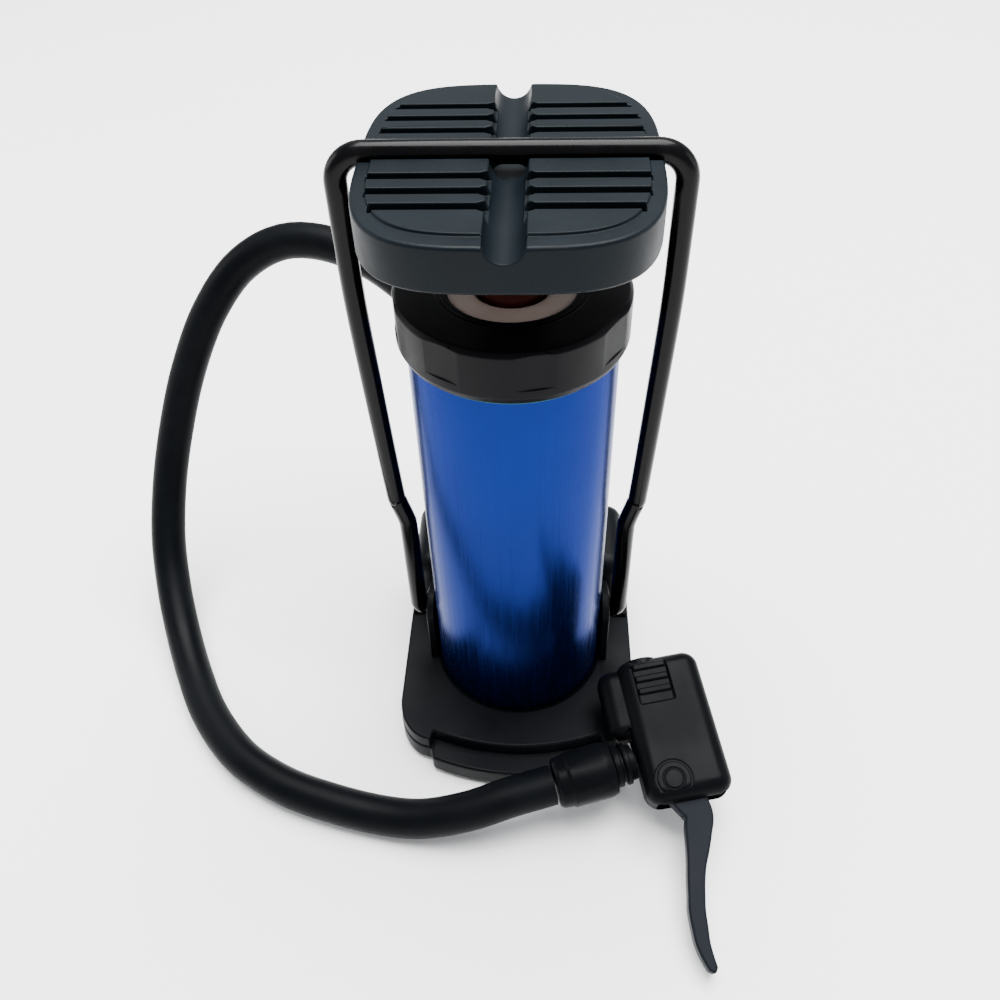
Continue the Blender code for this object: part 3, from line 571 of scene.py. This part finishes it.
def make_pedal():
    """The treadle: a rim, a raised panel, a long groove, rib slots and the bar's cross slot."""
    reach = 50 * MM
    pedal = slab("treadle_plate", superellipse(PEDAL_HALF_WIDTH, PEDAL_HALF_LENGTH, PEDAL_SQUARENESS),
                 PEDAL_BOTTOM, PEDAL_RIM_TOP)
    pedal = bevelled(pedal, 0.8 * MM, 4, 50)
    panel = slab("panel", superellipse(26.5 * MM, 31.2 * MM, 3.6), PEDAL_RIM_TOP - 2 * MM, PEDAL_TOP)
    pedal = boolean(pedal, panel, "UNION")
    pedal = boolean(pedal, rod("long_groove", (0, -reach, PEDAL_TOP), (0, reach, PEDAL_TOP), 3.8 * MM, 96))
    half = 1.15 * MM
    slots = ((9.8 * MM, 26.6 * MM), (15.7 * MM, 26.1 * MM), (21.5 * MM, 24.6 * MM))
    for side in (-1, 1):
        for row in (-1, 1):
            for y, end in slots:
                # Each slot widens where it opens into the long groove.
                upper = [(end, half), (5.2 * MM, half), (4.3 * MM, 1.5 * half), (3 * MM, 2.0 * half)]
                lower = [(x, -v) for x, v in reversed(upper)]
                outline = [(side * x, row * y + v) for x, v in lower[-1:] + upper + lower[:-1]]
                pedal = boolean(pedal, slab("slot", outline, PEDAL_TOP - 2.2 * MM, PEDAL_TOP + 1 * MM))
    pedal = boolean(pedal, rod("bar_slot", (-reach, 0, PEDAL_TOP), (reach, 0, PEDAL_TOP),
                               WIRE_RADIUS + 0.5 * MM, 64))
    pedal = boolean(pedal, rod("rod_socket", (0, 0, PEDAL_BOTTOM - 2 * MM), (0, 0, ROD_SOCKET_END),
                               ROD_RADIUS + 0.3 * MM, 64))
    pedal = boolean(pedal, rod("screw_seat", (0, 0, SCREW_HEAD_SEAT), (0, 0, PEDAL_TOP), 4.4 * MM, 48))
    pedal = bevelled(clean(pedal), 0.28 * MM, 2, 35)
    finish_piece(pedal, "treadle", "pedal_plastic", ["pedal"])


# ---------- bail ----------

def make_bail():
    top, corner = PEDAL_TOP, 6.2 * MM
    half = [(0, top)]
    half += arc(34.6 * MM - corner, top - corner, corner, corner, 90, 0, 14)
    lower = [(34.4, 135), (33.2, 108), (31.7, 78), (31.2, 74), (29.7, 68), (29.3, 64), (29.3, 50)]
    leg = through([(x * MM, 0, z * MM) for x, z in [(34.6, 155)] + lower], 6)
    half += [(p.x, p.z) for p in leg]
    bend = 2.9 * MM
    half += arc(29.3 * MM - bend, PIVOT.z + bend, bend, bend, 0, -90, 8)
    half.append((24.6 * MM, PIVOT.z))
    line = [(-x, 0, z) for x, z in reversed(half[1:])] + [(x, 0, z) for x, z in half]
    finish_piece(wire("bail_wire", line, WIRE_RADIUS, 8), "bail_frame", "black_steel", ["bail"])


# ---------- hose and outlet ----------

def make_hose():
    line = through([Vector(p) * MM for p in HOSE_ROUTE], 6)
    hose = wire("air_hose", line, HOSE_RADIUS, 10)
    finish_piece(hose, "base", "rubber", ["hose"])
    home = Matrix.Translation((0, VALVE_Y, 0))
    radius = outlet_high.x
    low, high = outlet_low.z, outlet_high.z
    rings = [(radius - 0.9 * MM, high), (radius, high - 1.1 * MM)]
    grooves, groove_radius = 3, radius - 0.6 * MM
    for k in range(grooves):
        z = high - (3.4 + 3.2 * k) * MM
        rings += [(radius, z + 0.7 * MM), (groove_radius, z + 0.4 * MM),
                  (groove_radius, z - 0.4 * MM), (radius, z - 0.7 * MM)]
    rings += [(radius, low + 1 * MM), (radius - 0.8 * MM, low), (3 * MM, low), (3 * MM, high)]
    sleeve = turned("outlet_sleeve", rounded(rings, 0.25 * MM, 2), 96, home)
    finish_piece(sleeve, "base", "black_plastic", ["outlet_ferrule"])
    return hose, line


# ---------- valve head ----------

def leaning_frame(origin, turn):
    """Axes that lean back from the floor by HEAD_LEAN and are then turned in their own plane."""
    back = Vector((0, math.cos(HEAD_LEAN), math.sin(HEAD_LEAN)))
    out = Vector((0, -math.sin(HEAD_LEAN), math.cos(HEAD_LEAN)))
    across = Vector((1, 0, 0)) * math.cos(turn) + back * math.sin(turn)
    along = back * math.cos(turn) - Vector((1, 0, 0)) * math.sin(turn)
    return Matrix.Translation(origin) @ Matrix((across, along, out)).transposed().to_4x4()


def lever_outline():
    """A round cam, then an S-shaped thumb lever that tapers to its tip."""
    swept = through([Vector((x, y, half)) * MM for x, y, half in LEVER_LINE], 6)
    left, right = [], []
    for i, spot in enumerate(swept):
        before, after = swept[max(i - 1, 0)], swept[min(i + 1, len(swept) - 1)]
        run = Vector((after.x - before.x, after.y - before.y)).normalized()
        left.append((spot.x + run.y * spot.z, spot.y - run.x * spot.z))
        right.append((spot.x - run.y * spot.z, spot.y + run.x * spot.z))
    tip_x, tip_y = swept[-1].x, swept[-1].y
    cam = arc(0, 0, 4.4 * MM, 4.4 * MM, 0, 200, 24)
    return cam + left + [(tip_x + 0.2 * MM, tip_y - 1.2 * MM)] + right[::-1]


def make_head():
    """The valve head with its lever, its neck and the coupling on the hose."""
    home = leaning_frame(HEAD_PIVOT, HEAD_TURN)
    thick = HEAD_HALF_THICK
    body = block("head_shell", (HEAD_LEFT, HEAD_FOOT, -thick), (HEAD_RIGHT, HEAD_END, thick), home)
    body = bevelled(body, 4.2 * MM, 10, 50)
    lobe = block("lobe", (-13.2 * MM, 13.6 * MM, -5.8 * MM), (-4 * MM, 33 * MM, 4.3 * MM), home)
    lobe = bevelled(lobe, 3.6 * MM, 8, 50)
    body = boolean(body, lobe, "UNION")
    body = boolean(body, block("slot", (-5.2 * MM, -8 * MM, -2.6 * MM), (20 * MM, 9.6 * MM, 2.6 * MM), home))
    body = boolean(body, rod("plunger_bore", (0, 5 * MM, 0), (0, 24 * MM, 0), 3.5 * MM, 48, home))
    body = boolean(body, rod("socket", (0, 23 * MM, 0), (0, 40 * MM, 0), 5.3 * MM, 64, home))
    recess = block("recess", (-3.6 * MM, 20.8 * MM, thick - 0.8 * MM),
                   (6.4 * MM, 42 * MM, thick + 3 * MM), home)
    body = boolean(body, bevelled(recess, 0.7 * MM, 3, 50))
    low, high = thick - 0.35 * MM, thick + 1 * MM
    for inner, outer in ((2.5 * MM, 3.0 * MM), (4.4 * MM, 5.1 * MM)):
        ring = turned("ring", [(outer, high), (outer, low), (inner, low), (inner, high)], 64, home)
        body = boolean(body, ring)
    body = bevelled(clean(body), 0.22 * MM, 2, 38)
    finish_piece(body, "base", "head_plastic", ["head_body"])
    for k, y in enumerate((24.6 * MM, 28.1 * MM, 31.6 * MM)):
        rib = block(f"grip_rib_{k + 1}", (-3.3 * MM, y - 1.0 * MM, thick - 1.6 * MM),
                    (6.1 * MM, y + 1.0 * MM, thick - 0.1 * MM), home)
        finish_piece(bevelled(rib, 0.6 * MM, 4, 50), "base", "head_plastic", ["head_body"])
    radius, low, high = 2.45 * MM, thick - 0.5 * MM, thick + 0.15 * MM
    button = rounded([(0, high), (radius, high), (radius, low), (0, low)], 0.3 * MM)
    button = turned("pin_head", button, 48, home)
    finish_piece(button, "base", "head_plastic", ["lever_pin"])
    lever = bevelled(slab("thumb_lever", lever_outline(), -2.3 * MM, 2.3 * MM, home), 0.7 * MM, 3, 40)
    finish_piece(lever, "head_lever", "lever_plastic", ["lever"])
    coupling = leaning_frame(NECK_ORIGIN, NECK_TURN) @ Matrix.Translation((0, NECK_Y, 0))
    coupling = coupling @ Matrix.Rotation(-math.pi / 2, 4, "Y")
    start, end = -NECK_START, -NECK_END
    collars = [(4.7 * MM, start), (4.7 * MM, start + 1.5 * MM), (5.6 * MM, start + 1.7 * MM),
               (5.6 * MM, start + 2.9 * MM), (4.7 * MM, start + 3.1 * MM), (4.7 * MM, start + 3.9 * MM),
               (5.6 * MM, start + 4.1 * MM), (5.6 * MM, end), (0, end), (0, start)]
    finish_piece(turned("swivel_neck", rounded(collars, 0.25 * MM, 2), 64, coupling), "base", "head_plastic",
                 ["head_neck"])
    first, last = end + 0.3 * MM, -FERRULE_END
    sleeve = turned("hose_coupling", rounded([
        (6.1 * MM, last), (6.7 * MM, last - 0.9 * MM), (6.9 * MM, last - 3.4 * MM),
        (7.3 * MM, last - 4.0 * MM), (7.5 * MM, first + 2.2 * MM), (6.9 * MM, first),
        (0, first), (0, last)], 0.35 * MM, 3), 64, coupling)
    finish_piece(sleeve, "base", "head_plastic", ["head_ferrule"])


# ---------- the rest keep their CAD shapes ----------

def dress_nodes():
    by_slot = {s["node"]: s["material_slot"] for s in frame["record"]["subparts"]}
    for name, thing in frame["nodes"].items():
        if thing.hide_render:
            continue
        look = "pedal_plastic" if name == "pedal_screw" else by_slot[name]
        for index in range(len(thing.material_slots)):
            thing.material_slots[index].material = MATERIALS[look]


# ---------- camera, light and floor ----------

def make_camera():
    """Looks down on the pump from the front, as if stood over it."""
    yaw, pitch, roll = math.radians(-3.59), math.radians(44.88), math.radians(-2.07)
    forward = Vector((math.sin(yaw) * math.cos(pitch), math.cos(yaw) * math.cos(pitch), -math.sin(pitch)))
    right = forward.cross(Vector((0, 0, 1))).normalized()
    up = right.cross(forward)
    right_rolled = right * math.cos(roll) + up * math.sin(roll)
    up_rolled = up * math.cos(roll) - right * math.sin(roll)
    turn = Matrix((right_rolled, up_rolled, -forward)).transposed().to_4x4()
    data = bpy.data.cameras.new("camera")
    data.lens = 33.8
    data.sensor_width = 36
    data.clip_start = 0.01
    camera = link("camera", data, Matrix.Translation((0.0067, -0.1746, 0.2487)) @ turn)
    bpy.context.scene.camera = camera


def area_light(name, place, target, size, power):
    data = bpy.data.lights.new(name, "AREA")
    data.shape = "RECTANGLE"
    data.size, data.size_y = size
    data.energy = power
    aim = (Vector(target) - Vector(place)).to_track_quat("-Z", "Y").to_matrix().to_4x4()
    return link(name, data, Matrix.Translation(place) @ aim)


def make_stage():
    floor = slab("floor", [(-3, -3), (3, -3), (3, 3), (-3, 3)], -0.02, 0)
    finish = Finish("floor_look", (0.93, 0.93, 0.93), 0.7, specular=0.2)
    finish.mix_colour(finish.noise(3, 3), (0.91, 0.91, 0.915), (0.3, 0.7))
    floor.data.materials.append(finish.material)
    world = bpy.data.worlds.new("studio")
    world.use_nodes = True
    sky = world.node_tree.nodes["Background"]
    sky.inputs["Color"].default_value = (0.96, 0.98, 1.0, 1)
    sky.inputs["Strength"].default_value = 0.8
    bpy.context.scene.world = world
    area_light("key", (0.15, 0.35, 2.0), (0, 0, 0), (1.7, 1.7), 200)
    area_light("left_box", (-0.6, 0.1, 0.3), (0, 0, 0.08), (0.3, 0.3), 1.2)
    area_light("right_box", (0.6, 0, 0.3), (0, 0, 0.08), (0.25, 0.3), 0.7)


make_camera()
hose, hose_line = make_hose()
make_base()
make_barrel()
make_pedal()
make_bail()
make_head()
dress_nodes()
make_stage()
